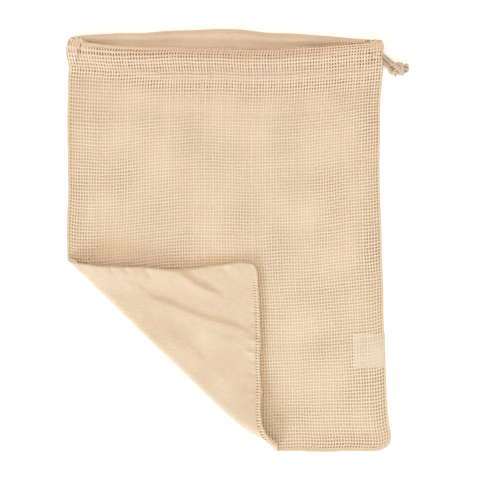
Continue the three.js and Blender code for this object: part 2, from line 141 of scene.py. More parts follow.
hem = {"depth": 0.023, "endInset": 0.017, "insetBy": 0.003, "backCordDepth": 0.006, "netCordDepth": 0.013}
cadCloth = {"thickness": 0.001, "gap": 0.0006, "cordRoom": 0.0004}  # the solids' own layers
mouth = {"middle": -0.003, "from": 0.075, "to": 0.137, "lift": 0.006, "down": (0.002, 0.042)}
mouthEnd = {
    "lift": 0.0054, "drop": (0.0063, 0.0113), "dropAtSeam": 0.017, "seam": (0.138, 0.143),
    "overHem": 0.0014, "down": (0.001, 0.012),
}
cordExit = {"y": 0.1734, "halfHeight": 0.0075, "rise": 0.0047, "inside": 0.016}
fold = {
    "start": (-0.1552, -0.017), "end": (0.0337, -0.201), "radius": 0.005,
    "radiusAtBottom": 0.009, "growth": (0.195, 0.262), "neutral": 0.0012,
    "height": 0.0076, "sagReach": 0.05,
}
edgeLift = {  # the corner's upper edge stands off the net near the left seam
    "rise": 0.0068, "left": -0.1535, "width": 0.034, "from": (0.02, 0.05), "to": (0.09, 0.14),
    "fromFold": (0.001, 0.02),
}
mouthCorner = {  # the net bulges at both ends of the mouth
    "leftX": (-0.1428, -0.1385), "leftRise": 0.0044, "rightX": (0.134, 0.142), "rightRise": 0.0008,
    "depth": 0.015,
}
puff = {  # the net stands a little high beside the seams
    "height": 0.00035, "rise": 0.006, "inside": (0.008, 0.026), "belowHem": 0.008,
    "awayFromFold": (0.004, 0.026), "mean": 0.85, "vary": 0.5, "size": 0.042, "range": (0.1, 1.7),
}
layers = {"muslin": 0.0003, "net": 0.00082}  # heights of the middles where the net lies on the back
hemSeamShadeReach = {  # painted warm shade where layers lie double: how far down the hems, and how much and how far along the seams
    "hem": (0.03, 0.08), "back": (0.8, 0.004, 0.014), "net": (0.75, 0.003, 0.014),
}
loose = {"drift": 0.00028, "size": 0.045}  # sewn cloth never lies quite true


def rimY(panel, x):
    table = np.array(rims)
    return valueThrough(table[:, 0], table[:, seamColumn[panel]], x)


def rimWidth(panel):
    return rimEnds[panel][1] - rimEnds[panel][0]


def panelEdges(panel):
    k = seamColumn[panel]
    leftEnd, rightEnd = rimEnds[panel]
    startY = float(rimY(panel, leftEnd))
    left = [(leftEnd, startY)] + [(row[k], row[0]) for row in leftSeam if row[0] < startY - 0.001]
    leftSide, lowerSide = flapCorner["sides"]
    tip = tuple(np.mean(flapCorner["sides"], axis=0) - flapCorner["round"] / 2 ** 0.5)
    right = [(rightEnd, float(rimY(panel, rightEnd)))] + [(row[k], row[0]) for row in rightSeam]
    right += [(row[0], row[k]) for row in bottomSeam] + [lowerSide, tip]
    whole = lineThrough(right, edgePoints["rightAndBottom"])
    turn = int(np.argmax(whole[:, 0] - whole[:, 1]))
    x = np.linspace(leftEnd, rightEnd, edgePoints["top"])
    return {
        "top": np.stack([x, rimY(panel, x)], axis=1),
        "left": lineThrough(left + [leftSide, tip], edgePoints["left"]),
        "right": whole[: turn + 1],
        "bottom": whole[turn:][::-1],
    }


edges = {"back": panelEdges("back"), "net": panelEdges("net")}


def loosen(place):
    x, y = place[..., 0], place[..., 1]
    drift = np.stack([waves(x, y, loose["size"], seed) for seed in (31, 32)], axis=-1)
    return place + drift * loose["drift"]


def flatPlace(panel, u, v):  # u from the left seam to the right one, v from the rim to the bottom
    e = edges[panel]
    u, v = np.broadcast_arrays(u, v)
    top, bottom = alongLine(e["top"], u), alongLine(e["bottom"], u)
    left, right = alongLine(e["left"], v), alongLine(e["right"], v)
    u, v = u[..., None], v[..., None]
    corners = ((1 - v) * ((1 - u) * e["top"][0] + u * e["top"][-1])
               + v * ((1 - u) * e["bottom"][0] + u * e["bottom"][-1]))
    return loosen((1 - v) * top + v * bottom + (1 - u) * left + u * right - corners)


def columnLength(panel, u):
    e = edges[panel]
    return np.linalg.norm(alongLine(e["top"], u) - alongLine(e["bottom"], u), axis=-1)


def seamDistance(x, y):
    nearest = np.full(np.shape(x), np.inf)
    for side in ("left", "right", "bottom"):
        line = edges["back"][side][::6]  # every sixth point is close enough
        for a, b in zip(line[:-1], line[1:]):
            _, offX, offY = fromSegment(x, y, a, b)
            nearest = np.minimum(nearest, np.hypot(offX, offY))
    return nearest


# the share of painted warm shade: full down the hems, and part along the seams
def hemSeamShadeMask(panel, down, inside):
    share, *reach = hemSeamShadeReach[panel]
    return np.maximum(fade(down, *hemSeamShadeReach["hem"]), share * fade(inside, *reach))


foldStart = np.array(fold["start"])
alongFold = np.array(fold["end"]) - foldStart
alongFold = alongFold / np.linalg.norm(alongFold)
acrossFold = np.array([-alongFold[1], alongFold[0]])

# Creases on the face of the turned-up corner: a line of points, the rise, and how wide the side
# towards the fold and the side away from it are
flapCreases = [
    ([(-0.0493, -0.0285), (-0.042, -0.0345), (-0.032, -0.0415), (-0.022, -0.0465), (-0.009, -0.051)],
     0.0028, 0.006, 0.002),
    ([(-0.028, -0.0345), (-0.018, -0.0425), (-0.008, -0.047)], -0.0008, 0.003, 0.004),
    ([(-0.08, -0.048), (-0.0727, -0.0555), (-0.0647, -0.0583), (-0.054, -0.0615), (-0.0446, -0.066),
      (-0.0326, -0.071), (-0.0219, -0.075), (-0.0138, -0.077), (-0.0005, -0.0805), (0.0129, -0.0855),
      (0.0249, -0.0925)], 0.0026, 0.011, 0.0023),
    ([(-0.03, -0.084), (-0.012, -0.092), (0.015, -0.1)], 0.0016, 0.009, 0.005),
    ([(-0.095, -0.077), (-0.066, -0.097), (-0.038, -0.113)], 0.003, 0.016, 0.011),
    ([(-0.0365, -0.096), (-0.0285, -0.104), (-0.021, -0.1145)], -0.0006, 0.003, 0.005),
    ([(0.0, -0.126), (-0.014, -0.142), (-0.02, -0.16)], 0.001, 0.012, 0.01),
    ([(-0.1285, -0.0235), (-0.1245, -0.0285)], -0.001, 0.0022, 0.0022),
    ([(-0.1148, -0.0235), (-0.1095, -0.0315)], -0.0015, 0.0022, 0.0026),
    ([(-0.1014, -0.0235), (-0.0955, -0.0315)], -0.0015, 0.0022, 0.0026),
    ([(-0.0975, -0.0385), (-0.0925, -0.0455)], 0.001, 0.003, 0.0026),
    ([(-0.0814, -0.0245), (-0.0735, -0.0355)], -0.0015, 0.0022, 0.0028),
    ([(-0.0057, -0.0235), (0.0, -0.0325)], -0.001, 0.003, 0.003),
    ([(0.006, -0.0235), (0.0115, -0.033)], 0.0008, 0.003, 0.003),
    ([(0.018, -0.0672), (0.0285, -0.0692)], -0.0012, 0.0018, 0.0018),
    ([(0.0205, -0.0812), (0.0285, -0.0765)], -0.0012, 0.0018, 0.0018),
    ([(0.0175, -0.0935), (0.0285, -0.0965)], 0.0015, 0.002, 0.002),
    ([(0.0165, -0.1055), (0.0275, -0.1078)], 0.0014, 0.002, 0.0018),
    ([(0.0195, -0.1145), (0.0275, -0.116)], -0.001, 0.0018, 0.0018),
    ([(0.0195, -0.1265), (0.0275, -0.128)], -0.001, 0.0018, 0.0018),
    ([(0.0175, -0.146), (0.027, -0.1465)], 0.0008, 0.002, 0.002),
]
flapFace = {
    "from": (0.002, 0.02), "waves": 0.00035, "waveSize": 0.028, "creaseEnd": 0.25, "creaseLeast": 0.35,
}
lowerEnd = {  # where the fold's roll meets the bottom seam, which is pulled to the right
    "at": (0.0315, -0.2005), "shift": (0.0108, 0.001), "reach": 0.0178, "grownAt": 0.5,
}


def foldDistance(x, y):
    return (x - foldStart[0]) * acrossFold[0] + (y - foldStart[1]) * acrossFold[1]


def creaseRise(x, y, line, height, nearFold, away):
    nearest = np.full(np.shape(x), np.inf)
    side, place = np.zeros(np.shape(x)), np.zeros(np.shape(x))
    for k, (a, b) in enumerate(zip(line[:-1], line[1:])):
        t, offX, offY = fromSegment(x, y, a, b)
        off = np.hypot(offX, offY)
        closer = off < nearest
        nearest = np.where(closer, off, nearest)
        side = np.where(closer, offX * acrossFold[0] + offY * acrossFold[1], side)
        place = np.where(closer, (k + t) / (len(line) - 1), place)
    width = np.where(side > 0, away, nearFold)
    end = flapFace["creaseEnd"]
    ends = blend(flapFace["creaseLeast"], 1, np.minimum(ramp(place, 0, end), fade(place, 1 - end, 1)))
    return height * ends * np.exp(-(nearest / width) ** 2)


def flapRise(x, y, beyond, radius):
    rise = (fold["height"] - 2 * radius) * ramp(beyond, 0, fold["sagReach"])
    onFace = ramp(beyond, *flapFace["from"])
    for line, height, nearFold, away in flapCreases:
        rise = rise + creaseRise(x, y, line, height, nearFold, away) * onFace
    return rise + flapFace["waves"] * waves(x, y, flapFace["waveSize"], 44) * onFace


def turnUp(x, y, height):  # carries a place of the flat bag over the fold
    along = (x - foldStart[0]) * alongFold[0] + (y - foldStart[1]) * alongFold[1]
    radius = blend(fold["radius"], fold["radiusAtBottom"], ramp(along, *fold["growth"]))
    start = fold["radius"] + np.pi / 2 * (radius - fold["radius"])
    past = start - foldDistance(x, y)
    halfTurn = np.pi * (radius - fold["neutral"])
    angle = np.pi * np.clip(past / halfTurn, 0, 1)
    beyond = np.maximum(past - halfTurn, 0)
    reach = radius - height
    shift = past - reach * np.sin(angle) + beyond
    turned = past > 0
    atX = np.where(turned, x + acrossFold[0] * shift, x)
    atY = np.where(turned, y + acrossFold[1] * shift, y)
    fromEnd = np.hypot(atX - lowerEnd["at"][0], atY - lowerEnd["at"][1]) / lowerEnd["reach"]
    pull = np.exp(-fromEnd * fromEnd) * ramp(past / halfTurn, 0, lowerEnd["grownAt"])
    atX = atX + lowerEnd["shift"][0] * pull
    atY = atY + lowerEnd["shift"][1] * pull
    rolled = radius - reach * np.cos(angle) + flapRise(atX, atY, beyond, radius)
    upperEdge = fade(x - edgeLift["left"], 0, edgeLift["width"])
    upperEdge = upperEdge * ramp(-y, *edgeLift["from"]) * fade(-y, *edgeLift["to"])
    rolled = rolled + edgeLift["rise"] * upperEdge * ramp(past, *edgeLift["fromFold"])
    return np.stack([atX, atY, np.where(turned, rolled, height)], axis=-1)


# The drawcord's own numbers, and its route from the knot through both hems and back
drawcord = {
    "diameter": 0.0034, "soft": 0.0046, "strands": 3, "twistPitch": 0.0085, "ring": 18, "step": 0.0006,
    "exit": (0.1474, 0.1735, 0.0035), "routePoints": 3000,
    "inHem": (0.138, 0.144), "squeeze": 0.18, "paintedLightInHems": 0.15,  # inside the hems it is tighter, and painted paler: painted light against the shade in the hems
}
twist = {"strandMiddle": 0.2, "strandRadius": 0.32}  # shares of the soft diameter
cordAbove = cadCloth["thickness"] / 2 + cadCloth["cordRoom"] + drawcord["diameter"] / 2
cadBack = cadCloth["thickness"] / 2
cadNet = cadCloth["thickness"] * 1.5 + cadCloth["gap"]


def frontLift(x, depth):  # how far the front stands off the back near the mouth
    fromMiddle = np.abs(x - mouth["middle"])
    belowHem = depth - hem["depth"]
    dropStart = blend(mouthEnd["drop"][0], mouthEnd["dropAtSeam"], ramp(fromMiddle, *mouthEnd["seam"]))
    drop = fade(depth, dropStart, dropStart + mouthEnd["drop"][1] - mouthEnd["drop"][0])
    nearEnd = blend(mouthEnd["overHem"], mouthEnd["lift"], drop) * fade(belowHem, *mouthEnd["down"])
    open = mouth["lift"] * fade(belowHem, *mouth["down"])
    return blend(nearEnd, open, fade(fromMiddle, mouth["from"], mouth["to"]))


def inFront(x):
    y = float(rimY("net", x)) - hem["netCordDepth"]
    return (x, y, cadNet + float(frontLift(x, hem["netCordDepth"])) + cordAbove)


def inBack(x):
    return (x, float(rimY("back", x)) - hem["backCordDepth"], cadBack + cordAbove)


cordRoute = [
    (0.1547, 0.1637, 0.0036), (0.1508, 0.1676, 0.0036), (0.1474, 0.1708, 0.0035),
    (0.1426, 0.1739, 0.0044), (0.1374, 0.1754, 0.0056), (0.131, 0.176, 0.0062),
    *[inFront(x) for x in (0.124, 0.108, 0.09, 0.07, 0.045, 0.02, 0.0,
                           -0.02, -0.045, -0.07, -0.09, -0.11, -0.126, -0.136)],
    (-0.1424, 0.176, 0.0057), (-0.1478, 0.18, 0.0046), (-0.1492, 0.1842, 0.0039),
    (-0.146, 0.1882, 0.0033), (-0.1404, 0.1897, 0.0031),
    *[inBack(x) for x in (-0.134, -0.118, -0.1, -0.075, -0.05, -0.03, -0.01,
                          0.01, 0.035, 0.06, 0.085, 0.105, 0.123)],
    (0.1314, 0.1856, 0.0031), (0.1374, 0.1832, 0.0031), (0.1424, 0.18, 0.0032),
    (0.1474, 0.1762, 0.0034), (0.1514, 0.1728, 0.0039), (0.1561, 0.1688, 0.0042),
]


# Making meshes

def addMesh(name, points, faces, material, values=None):
    mesh = bpy.data.meshes.new(name)
    points = np.array(points, np.float32).reshape(-1, 3)
    points[:, 2] = np.maximum(points[:, 2], 0)  # nothing reaches below the table
    mesh.vertices.add(len(points))
    mesh.vertices.foreach_set("co", points.ravel())
    corners = np.concatenate([f.ravel() for f in faces]).astype(np.int32)
    sizes = np.concatenate([np.full(len(f), f.shape[1]) for f in faces])
    mesh.loops.add(len(corners))
    mesh.loops.foreach_set("vertex_index", corners)
    mesh.polygons.add(len(sizes))
    mesh.polygons.foreach_set("loop_start", np.concatenate([[0], np.cumsum(sizes)[:-1]]).astype(np.int32))
    mesh.polygons.foreach_set("use_smooth", np.ones(len(sizes), bool))
    mesh.update(calc_edges=True)
    for key, value in (values or {}).items():
        flat = np.asarray(value, np.float32)
        isVector = flat.ndim > 1
        layer = mesh.attributes.new(key, "FLOAT_VECTOR" if isVector else "FLOAT", "POINT")
        layer.data.foreach_set("vector" if isVector else "value", flat.ravel())
    mesh.materials.append(material)
    piece = bpy.data.objects.new(name, mesh)
    bpy.context.scene.collection.objects.link(piece)
    print(name, "has", int((sizes - 2).sum()), "triangles")
    return piece


def unit(vectors):
    return vectors / np.maximum(np.linalg.norm(vectors, axis=-1, keepdims=True), 1e-12)


def ringQuads(index):  # quads between each ring of points and the next
    after = np.roll(index, -1, axis=-1)
    quads = (index[..., :-1, :], after[..., :-1, :], after[..., 1:, :], index[..., 1:, :])
    return np.stack(quads, axis=-1).reshape(-1, 4)


def tubes(middle, side, up, halfWidth, halfHeight, ring):
    # closed tubes around lines of points: middle is (tubes, points, 3), and so are side and up
    turn = np.linspace(0, 2 * np.pi, ring, endpoint=False)
    halfWidth = np.broadcast_to(halfWidth, middle.shape[:2])[..., None, None]
    halfHeight = np.broadcast_to(halfHeight, middle.shape[:2])[..., None, None]
    rings = (middle[:, :, None] + side[:, :, None] * halfWidth * np.cos(turn)[:, None]
             + up[:, :, None] * halfHeight * np.sin(turn)[:, None])
    n, m = middle.shape[:2]
    index = np.arange(n * m * ring).reshape(n, m, ring)
    return rings.reshape(-1, 3), [ringQuads(index), index[:, 0, ::-1], index[:, -1]]


def joined(parts):  # several (points, faces) as one
    points, faces, first = [], [], 0
    for made, quads in parts:
        points.append(made)
        faces += [f + first for f in quads]
        first += len(made)
    return np.concatenate(points), faces


def framesAlong(line):  # side and up for each point of a free line, without twist
    tangent = unit(np.gradient(line, axis=0))
    up = np.zeros_like(line)
    up[0] = unit(np.cross(np.cross(tangent[0], (0, 0, 1)), tangent[0]))
    for k in range(1, len(line)):
        up[k] = unit(up[k - 1] - tangent[k] * (up[k - 1] @ tangent[k]))
    return np.cross(up, tangent), up


def twistedTube(line, cord, taper):  # a cord of several strands that turn round each other
    side, up = framesAlong(line)
    around = np.linspace(0, 2 * np.pi, cord["ring"], endpoint=False)
    sector = 2 * np.pi / cord["strands"]
    off = (around + sector / 2) % sector - sector / 2
    strandMiddle = cord["soft"] * twist["strandMiddle"]
    strandRadius = cord["soft"] * twist["strandRadius"]
    radius = strandMiddle * np.cos(off) + np.sqrt(strandRadius**2 - (strandMiddle * np.sin(off)) ** 2)
    angle = around[None] + lengthAlong(line)[:, None] * 2 * np.pi / cord["twistPitch"]
    spread = radius[None, :, None] * taper[:, None, None]
    rings = line[:, None] + spread * (side[:, None] * np.cos(angle)[..., None]
                                      + up[:, None] * np.sin(angle)[..., None])
    index = np.arange(len(line) * cord["ring"]).reshape(-1, cord["ring"])
    return rings.reshape(-1, 3), [ringQuads(index), index[:1, ::-1], index[-1:]]


def closedSheet(grid, thickness):
    down, across = np.gradient(grid, axis=0), np.gradient(grid, axis=1)
    outward = unit(np.cross(down, across))
    points = np.concatenate([(grid + outward * thickness / 2).reshape(-1, 3),
                             (grid - outward * thickness / 2).reshape(-1, 3)])
    rows, columns = grid.shape[:2]
    near = np.arange(rows * columns).reshape(rows, columns)
    far = near + rows * columns
    sides = [
        (near[:-1, :-1], near[1:, :-1], near[1:, 1:], near[:-1, 1:]),
        (far[:-1, :-1], far[:-1, 1:], far[1:, 1:], far[1:, :-1]),
        (near[0, :-1], near[0, 1:], far[0, 1:], far[0, :-1]),
        (near[-1, :-1], far[-1, :-1], far[-1, 1:], near[-1, 1:]),
        (near[:-1, 0], far[:-1, 0], far[1:, 0], near[1:, 0]),
        (near[:-1, -1], near[1:, -1], far[1:, -1], far[:-1, -1]),
    ]
    return points, [np.stack([c.ravel() for c in quad], axis=1) for quad in sides]


# Materials, with formulas on sockets

class Value:
    # a socket that takes part in sums, so that a formula reads as on paper
    def __init__(self, finish, socket):
        self.finish, self.socket = finish, socket

    def maths(self, operation, *values):
        sockets = dict(enumerate(values))
        return self.finish.node("ShaderNodeMath", {"operation": operation}, sockets)

    def __add__(self, other):
        return self.maths("ADD", self, other)

    def __sub__(self, other):
        return self.maths("SUBTRACT", self, other)

    def __rsub__(self, other):
        return self.maths("SUBTRACT", other, self)

    def __mul__(self, other):
        return self.maths("MULTIPLY", self, other)

    __radd__ = __add__
    __rmul__ = __mul__

    def sine(self):
        return self.maths("SINE", self)

    def clamped(self, low, high):
        return self.maths("MINIMUM", self.maths("MAXIMUM", self, low), high)


class Finish:
    def __init__(self, name, roughness, sheen):
        self.material = bpy.data.materials.new(name)
        self.material.use_nodes = True
        self.tree = self.material.node_tree
        self.shader = self.tree.nodes["Principled BSDF"]
        self.shader.inputs["Roughness"].default_value = roughness
        self.shader.inputs["Sheen Weight"].default_value = sheen
        self.shader.inputs["Sheen Roughness"].default_value = 0.5
        self.shader.inputs["Specular IOR Level"].default_value = 0.2

    def feed(self, socket, value):
        if isinstance(value, Value):
            self.tree.links.new(value.socket, socket)
        else:
            socket.default_value = value

    def node(self, kind, settings=None, values=None, output=0):
        made = self.tree.nodes.new(kind)
        for key, value in (settings or {}).items():
            setattr(made, key, value)
        for key, value in (values or {}).items():
            self.feed(made.inputs[key], value)
        return Value(self, made.outputs[output])

    def attribute(self, name, output):
        return self.node("ShaderNodeAttribute", {"attribute_name": name}, output=output)

    def parts(self, vector):
        split = self.node("ShaderNodeSeparateXYZ", values={0: vector}).socket.node
        return [Value(self, socket) for socket in split.outputs]

    def scaled(self, vector, scale):
        return self.node("ShaderNodeVectorMath", {"operation": "MULTIPLY"}, {0: vector, 1: scale})

    def noise(self, vector, scale, detail=2.0):
        values = {"Vector": vector, "Scale": scale, "Detail": detail}
        return self.node("ShaderNodeTexNoise", values=values)

    def mixed(self, share, a, b, kind="MIX"):  # sockets 6 and 7 take colours, and output 2 gives one
        settings = {"data_type": "RGBA", "blend_type": kind}
        return self.node("ShaderNodeMix", settings, {0: share, 6: a, 7: b}, output=2)

    def paintedShade(self, tone, look):  # painted warm shade where layers lie double, at the hems and along the seams
        return self.mixed(self.attribute("doubled", "Fac"), tone, opaque(look["doubled"]), "MULTIPLY")

    def colour(self, value):
        self.feed(self.shader.inputs["Base Color"], value)

    def bump(self, height, strength, distance):
        values = {"Height": height, "Strength": strength, "Distance": distance}
        self.feed(self.shader.inputs["Normal"], self.node("ShaderNodeBump", values=values))


def opaque(colour):
    return (*colour, 1.0)


# doubled is the colour multiplied in where layers lie double at the hems and seams: painted warm shade
muslinLook = {
    "colour": (0.75, 0.577, 0.406), "pale": (0.86, 0.683, 0.5), "fleck": (0.47, 0.33, 0.2),
    "doubled": (0.925, 0.9, 0.905), "threadPitch": 0.0007, "roughness": 0.92, "sheen": 0.12,
}
wovenLook = {  # scales, how much each part lightens the tone, and the relief
    "slubs": ((1100, 130, 1), (110, 900, 1)), "slubShares": (0.65, 0.35), "slubTone": 2.6,
    "clouds": 25.0, "cloudTone": 1.6, "toneFrom": 1.6,
    "flecks": 700.0, "flecksFrom": 0.74, "fleckEdge": 6, "weave": 0.3, "bump": (0.35, 0.0004),
}
# doubled is the colour multiplied in where the net lies double at its hem and seams: painted warm shade
netLook = {
    "colour": (0.905, 0.71, 0.50), "pale": (0.97, 0.82, 0.63), "doubled": (0.97, 0.92, 0.905),
    "roughness": 0.92, "sheen": 0.1,
}
# doubled of white gives cord, knot and sewing thread no painted shade
plainLook = {"doubled": (1, 1, 1), "roughness": 0.9, "sheen": 0.1}
cordLook = {**plainLook, "colour": (0.52, 0.39, 0.265), "pale": (0.80, 0.63, 0.455)}
knotLook = {**plainLook, "colour": (0.6, 0.46, 0.33), "pale": (0.82, 0.66, 0.51)}
tapeLook = {
    **plainLook, "colour": (0.74, 0.68, 0.545), "pale": (0.79, 0.74, 0.615), "fleck": (0.74, 0.68, 0.545),
    "threadPitch": 0.0009,
}
threadLook = {**plainLook, "colour": (0.78, 0.63, 0.46), "pale": (0.86, 0.73, 0.56)}
spunLook = {
    "fibres": 2200.0, "fibreTone": 0.4, "clouds": 45.0, "cloudTone": 0.5, "strandTone": 0.45,
    "toneFrom": 0.2, "bump": (0.4, 0.0004),
}


def muslinFinish(name, look):
    woven = wovenLook
    finish = Finish(name, look["roughness"], look["sheen"])
    cloth = finish.attribute("cloth", "Vector")
    along, across, _ = finish.parts(cloth)
    turns = 2 * np.pi / look["threadPitch"]
    weave = (along * turns).sine() * (across * turns).sine()
    slubsAlong, slubsAcross = (finish.noise(finish.scaled(cloth, scale), 1.0) for scale in woven["slubs"])
    slubs = slubsAlong * woven["slubShares"][0] + slubsAcross * woven["slubShares"][1]
    clouds = finish.noise(cloth, woven["clouds"])
    share = (slubs * woven["slubTone"] + clouds * woven["cloudTone"] - woven["toneFrom"]).clamped(0, 1)
    tone = finish.mixed(share, opaque(look["colour"]), opaque(look["pale"]))
    flecks = finish.noise(cloth, woven["flecks"], 1.0) - woven["flecksFrom"]
    flecks = (flecks * woven["fleckEdge"]).clamped(0, 1)
    finish.colour(finish.paintedShade(finish.mixed(flecks, tone, opaque(look["fleck"])), look))
    finish.bump(weave * woven["weave"] + slubs, *woven["bump"])
    return finish.material


def threadFinish(name, look):  # spun cotton: each thread a little different, with fine fibres
    spun = spunLook
    finish = Finish(name, look["roughness"], look["sheen"])
    place = finish.node("ShaderNodeTexCoord", output="Object")
    strand = finish.attribute("strand", "Fac")
    fibres = finish.noise(place, spun["fibres"], 3.0)
    clouds = finish.noise(place, spun["clouds"])
    share = strand * spun["strandTone"] + fibres * spun["fibreTone"] + clouds * spun["cloudTone"]
    share = (share - spun["toneFrom"]).clamped(0, 1)
    finish.colour(finish.paintedShade(finish.mixed(share, opaque(look["colour"]), opaque(look["pale"])), look))
    finish.bump(fibres, *spun["bump"])
    return finish.material


muslin = muslinFinish("muslin", muslinLook)
netThread = threadFinish("net thread", netLook)
cordYarn = threadFinish("cord yarn", cordLook)
knotYarn = threadFinish("knot yarn", knotLook)
tape = muslinFinish("cotton tape", tapeLook)
sewingThread = threadFinish("sewing thread", threadLook)


# Camera and light

view = {
    "pixels": 480, "metresPerPixel": 0.000955, "middle": (0.011, 0.0005), "distance": 2.6, "sensor": 36.0,
    "clip": (0.1, 60),
}


def addCamera():
    width = view["pixels"] * view["metresPerPixel"]
    data = bpy.data.cameras.new("camera")
    data.sensor_width = view["sensor"]
    data.lens = view["sensor"] * view["distance"] / width
    data.clip_start, data.clip_end = view["clip"]
    camera = bpy.data.objects.new("camera", data)
    camera.location = (*view["middle"], view["distance"])
    bpy.context.scene.collection.objects.link(camera)
    bpy.context.scene.camera = camera


light = {
    "place": (-1.25, -2.2, 1.25), "size": 0.9, "watts": 28, "colour": (0.7, 1.0, 1.35),
    "sky": 0.94, "skyColour": (1.0, 0.94, 0.86),
}


def addLight():
    scene = bpy.context.scene
    world = bpy.data.worlds.new("studio")
    world.use_nodes = True
    sky = world.node_tree.nodes["Background"]
    sky.inputs["Color"].default_value = opaque(light["skyColour"])
    sky.inputs["Strength"].default_value = light["sky"]
    scene.world = world
    scene.view_settings.view_transform = "Standard"
    data = bpy.data.lights.new("soft box", "AREA")
    data.shape, data.size, data.energy = "DISK", light["size"], light["watts"]
    data.color = light["colour"]
    lamp = bpy.data.objects.new("soft box", data)
    lamp.location = light["place"]
    lamp.rotation_euler = (-Vector(light["place"])).to_track_quat("-Z", "Y").to_euler()
    scene.collection.objects.link(lamp)


floor = {
    "colour": (0.9, 0.895, 0.885), "patches": (0.87, 0.865, 0.86), "patchScale": 3.0, "patchShare": 0.3,
    "roughness": 0.8, "glow": 0.3, "reach": 4.0,
}


def addFloor():
    finish = Finish("floor", floor["roughness"], 0)
    place = finish.node("ShaderNodeTexCoord", output="Object")
    share = finish.noise(place, floor["patchScale"]) * floor["patchShare"]
    finish.colour(finish.mixed(share, opaque(floor["colour"]), opaque(floor["patches"])))
    finish.shader.inputs["Emission Color"].default_value = (1, 1, 1, 1)
    finish.shader.inputs["Emission Strength"].default_value = floor["glow"]
    reach = floor["reach"]
    corners = [(-reach, -reach, 0), (reach, -reach, 0), (reach, reach, 0), (-reach, reach, 0)]
    addMesh("floor", corners, [np.array([[0, 1, 2, 3]])], finish.material)


addCamera()
addLight()
addFloor()


# The drawcord

def addDrawcord():
    rough = lineThrough(cordRoute, drawcord["routePoints"])
    length = float(lengthAlong(rough)[-1])
    line = alongLine(rough, np.linspace(0, 1, int(length / drawcord["step"])))
    inHem = fade(line[:, 0], *drawcord["inHem"])
    ring, strands = drawcord["ring"], drawcord["strands"]
    # outside the hems the strands are darker, so inside them the cord is painted lighter: painted light
    # against the hems' shade
    strand = np.arange(ring) // (ring // strands) / strands - drawcord["paintedLightInHems"] * (1 - inHem[:, None])
    made = twistedTube(line, drawcord, 1 - drawcord["squeeze"] * inHem)
    piece = addMesh("drawcord_twisted", *made, cordYarn, {"strand": strand.ravel()})
    print("drawcord is", round(length, 4), "m long")
    return piece, line, length


cordPiece, cordLine, cordLength = addDrawcord()


# The knot: both strands wrapped round themselves, with two frayed ends
knot = {
    "soft": 0.0046, "strands": 3, "twistPitch": 0.0095, "ring": 18, "steps": 170, "seed": 12,
    "startSize": 0.86, "startTo": 0.12,  # the strands come into it a little thinner
    "over": [
        (0.1586, 0.1670, 0.0056), (0.1609, 0.165, 0.0069), (0.1632, 0.1626, 0.0064),
        (0.1641, 0.1606, 0.0044), (0.1623, 0.16, 0.0026), (0.1594, 0.1612, 0.0024),
        (0.1576, 0.164, 0.0025), (0.1588, 0.167, 0.0031), (0.1614, 0.168, 0.0046),
        (0.1642, 0.1674, 0.0064), (0.1654, 0.1646, 0.0068), (0.1656, 0.162, 0.0058),
        (0.1662, 0.1604, 0.0038), (0.1674, 0.1614, 0.0029), (0.1674, 0.1634, 0.0036),
    ],
    "through": [
        (0.1545, 0.1616, 0.0043), (0.1562, 0.1599, 0.0049), (0.1587, 0.1611, 0.0052),
        (0.161, 0.1634, 0.004), (0.1643, 0.1651, 0.0036), (0.1674, 0.1655, 0.0038),
    ],
}
frayed = {
    "yarns": 11, "yarnSize": (0.0014, 0.0019), "fibres": 120, "fibreSize": (0.00014, 0.00024),
    "reach": (0.0034, 0.0056), "outerShorter": 0.25, "lowest": 0.0008,
    "aims": (0.12, -0.25), "sink": -0.06, "spread": 0.95, "flat": 0.8, "stray": 0.1,
    "rootSpread": 0.0014, "rootStray": 0.0006, "bend": 0.0004,
    "places": (0, 0.4, 0.75, 1), "bent": (0, 1, 0.4, 0),
    "taper": (1, 1, 1.05, 1.1, 1.1, 1.05, 0.95, 0.8, 0.45), "yarnRing": 8, "fibreRing": 4,
}
underKnot = {  # a few loose fibres
    "roots": ((0.1592, 0.1592, 0.0026), (0.1655, 0.16, 0.0024)), "each": 14, "half": 0.00016,
    "stray": 0.0004, "aside": (0.0004, 0.0007), "down": (-0.0028, -0.0012), "reach": (0.6, 1.1),
    "bend": 0.0002, "points": 6, "ring": 4, "lowest": 0.0003,
}


def fibre(points, count, lowest, half, ring):
    line = lineThrough(points, count)
    line[:, 2] = np.maximum(line[:, 2], lowest)
    side, up = framesAlong(line)
    return tubes(line[None], side[None], up[None], half, half, ring)


def frayedEnd(start, aim, draw):
    parts = []
    for k in range(frayed["yarns"] + frayed["fibres"]):
        kind = "yarn" if k < frayed["yarns"] else "fibre"
        turn, off = draw.uniform(0, 2 * np.pi), draw.uniform(0, 1) ** 0.5
        fromMiddle = np.array([0, np.cos(turn), frayed["flat"] * np.sin(turn)]) * off
        back = draw.uniform(-frayed["rootStray"], frayed["rootStray"])
        root = np.array(start) + fromMiddle * frayed["rootSpread"] + (back, 0, 0)
        heading = np.array([1, aim, frayed["sink"]]) + fromMiddle * frayed["spread"]
        heading = unit(heading + draw.normal(0, frayed["stray"], 3))
        reach = draw.uniform(*frayed["reach"]) * (1 - frayed["outerShorter"] * off)
        bend = draw.normal(0, frayed["bend"], 3)
        points = [root + heading * reach * s + bend * b for s, b in zip(frayed["places"], frayed["bent"])]
        thick = draw.uniform(*frayed[kind + "Size"])
        half = np.array(frayed["taper"])[None] * thick / 2
        parts.append(fibre(points, len(frayed["taper"]), frayed["lowest"], half, frayed[kind + "Ring"]))
    return parts


def looseFibres(draw):
    shape = underKnot
    parts = []
    for root in shape["roots"]:
        for _ in range(shape["each"]):
            start = np.array(root) + draw.normal(0, shape["stray"], 3)
            fall = np.array([draw.normal(*shape["aside"]), *shape["down"]])
            end = start + fall * draw.uniform(*shape["reach"])
            middle = (start + end) / 2 + draw.normal(0, shape["bend"], 3)
            points = [start, middle, end]
            parts.append(fibre(points, shape["points"], shape["lowest"], shape["half"], shape["ring"]))
    return parts


